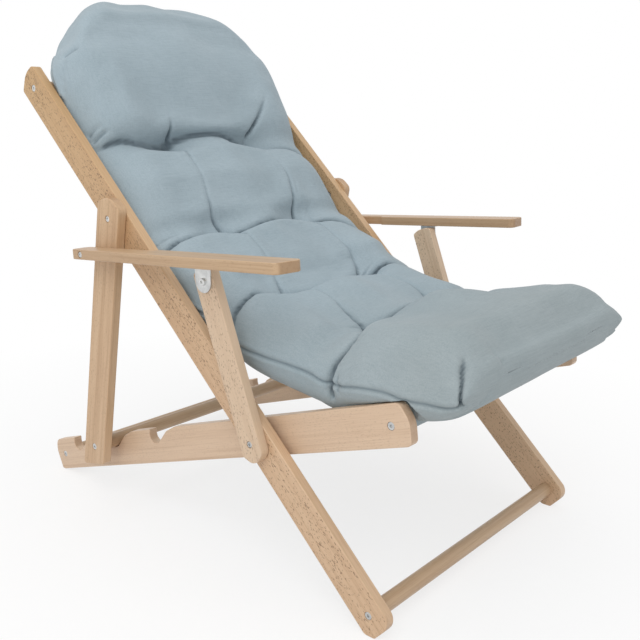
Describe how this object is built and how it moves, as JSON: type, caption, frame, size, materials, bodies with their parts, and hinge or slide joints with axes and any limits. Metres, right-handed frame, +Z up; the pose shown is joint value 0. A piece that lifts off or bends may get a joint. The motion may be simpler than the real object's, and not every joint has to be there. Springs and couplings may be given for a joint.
{
  "type": "folding lounge chair",
  "caption": "Folding beech lounge chair with armrests, a notched reclining back and a thick tufted cushion with a rounded head pillow.",
  "frame": {"origin": "centre of the bounding box on the floor, with the chair open in its middle notch", "axes": "+X to the sitter's left, -Y forward, +Z up"},
  "size_m": [0.7284, 1.0781, 0.9815],
  "materials": {
    "rail_wood": "fine satin beech with dark pore flecks",
    "board_wood": "satin beech with straight grain",
    "dowel_wood": "satin turned beech",
    "zinc_steel": "zinc plated",
    "cushion_cloth": "plain weave blue-grey cotton"
  },
  "bodies": {
    "main_frame": {"main_rail_left": "rail_wood", "main_rail_right": "rail_wood", "head_crossbar": "dowel_wood", "foot_crossbar": "dowel_wood", "main_frame_screws": "zinc_steel", "centre_bolts": "zinc_steel", "centre_spacers": "zinc_steel", "centre_nuts": "zinc_steel", "prop_bolts": "zinc_steel", "prop_nuts": "zinc_steel", "head_sleeve": "cushion_cloth", "cushion_back": "cushion_cloth"},
    "seat_frame": {"seat_rail_left": "board_wood", "seat_rail_right": "board_wood", "seat_front_crossbar": "dowel_wood", "seat_rear_crossbar": "dowel_wood", "seat_frame_screws": "zinc_steel", "front_sleeve": "cushion_cloth", "cushion_seat": "cushion_cloth"},
    "prop": {"prop_upright_left": "board_wood", "prop_upright_right": "board_wood", "prop_crossbar": "dowel_wood", "prop_screws": "zinc_steel"},
    "arm_left": {"arm_support_left": "rail_wood", "bracket_bolt_left": "zinc_steel"},
    "armrest_left": {"armrest_left": "board_wood", "arm_bracket_left": "zinc_steel", "bracket_screws_left": "zinc_steel", "armrest_bolt_left": "zinc_steel"},
    "arm_right": {"arm_support_right": "rail_wood", "bracket_bolt_right": "zinc_steel"},
    "armrest_right": {"armrest_right": "board_wood", "arm_bracket_right": "zinc_steel", "bracket_screws_right": "zinc_steel", "armrest_bolt_right": "zinc_steel"}
  },
  "joints": [
    {"name": "prop_hinge", "type": "hinge", "parent": "main_frame", "child": "prop", "pos_m": [0, 0.1626, 0.5725], "axis": [1, 0, 0], "range_deg": [0, 112]},
    {"name": "seat_hinge", "type": "hinge", "parent": "main_frame", "child": "seat_frame", "pos_m": [0, -0.19197, 0.24851], "axis": [1, 0, 0], "range_deg": [0, 54]},
    {"name": "arm_hinge_left", "type": "hinge", "parent": "main_frame", "child": "arm_left", "pos_m": [0, -0.19197, 0.24851], "axis": [1, 0, 0], "range_deg": [-21.2, 0]},
    {"name": "armrest_hinge_left", "type": "hinge", "parent": "arm_left", "child": "armrest_left", "pos_m": [0, -0.08996, 0.49898], "axis": [1, 0, 0], "range_deg": [0, 57.5]},
    {"name": "arm_hinge_right", "type": "hinge", "parent": "main_frame", "child": "arm_right", "pos_m": [0, -0.19197, 0.24851], "axis": [1, 0, 0], "range_deg": [-21.2, 0]},
    {"name": "armrest_hinge_right", "type": "hinge", "parent": "arm_right", "child": "armrest_right", "pos_m": [0, -0.08996, 0.49898], "axis": [1, 0, 0], "range_deg": [0, 57.5]}
  ],
  "couplings": [
    {"joint": "arm_hinge_left", "follows": "prop_hinge", "ratio": -0.18804},
    {"joint": "armrest_hinge_left", "follows": "prop_hinge", "ratio": 0.51187},
    {"joint": "arm_hinge_right", "follows": "prop_hinge", "ratio": -0.18804},
    {"joint": "armrest_hinge_right", "follows": "prop_hinge", "ratio": 0.51187}
  ]
}
